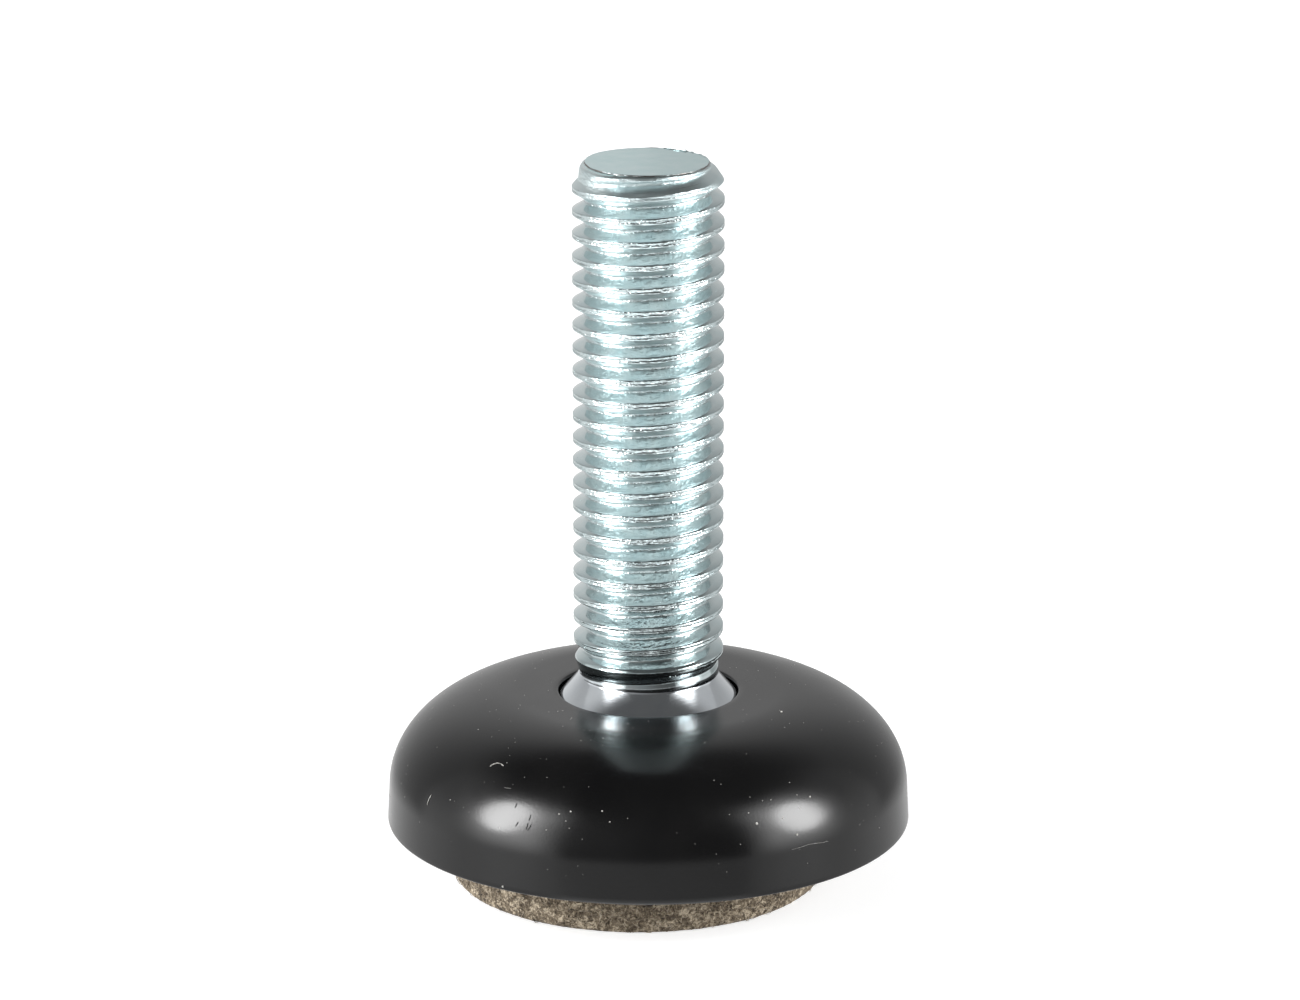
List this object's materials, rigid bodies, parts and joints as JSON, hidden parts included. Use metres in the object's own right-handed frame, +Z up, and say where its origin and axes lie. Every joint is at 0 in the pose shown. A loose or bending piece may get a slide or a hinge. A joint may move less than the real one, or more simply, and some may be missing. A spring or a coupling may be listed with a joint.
{
  "type": "levelling foot",
  "caption": "Furniture levelling foot: a zinc-plated threaded stud with a conical collar pressed into a crowned black plastic base, with a felt pad glued under it",
  "frame": {"origin": "on the stud's axis, in the plane that the felt pad stands on", "axes": "+Z up along the stud, +X to the right in the reference view, which looks along +Y"},
  "size_m": [0.0342, 0.0342, 0.0479],
  "materials": {
    "zinc_steel": "bright zinc plate",
    "black_plastic": "satin moulded",
    "felt": "compressed wool felt"
  },
  "bodies": {
    "root": {"threaded_stud": "zinc_steel", "base": "black_plastic", "felt_pad": "felt"}
  },
  "joints": []
}
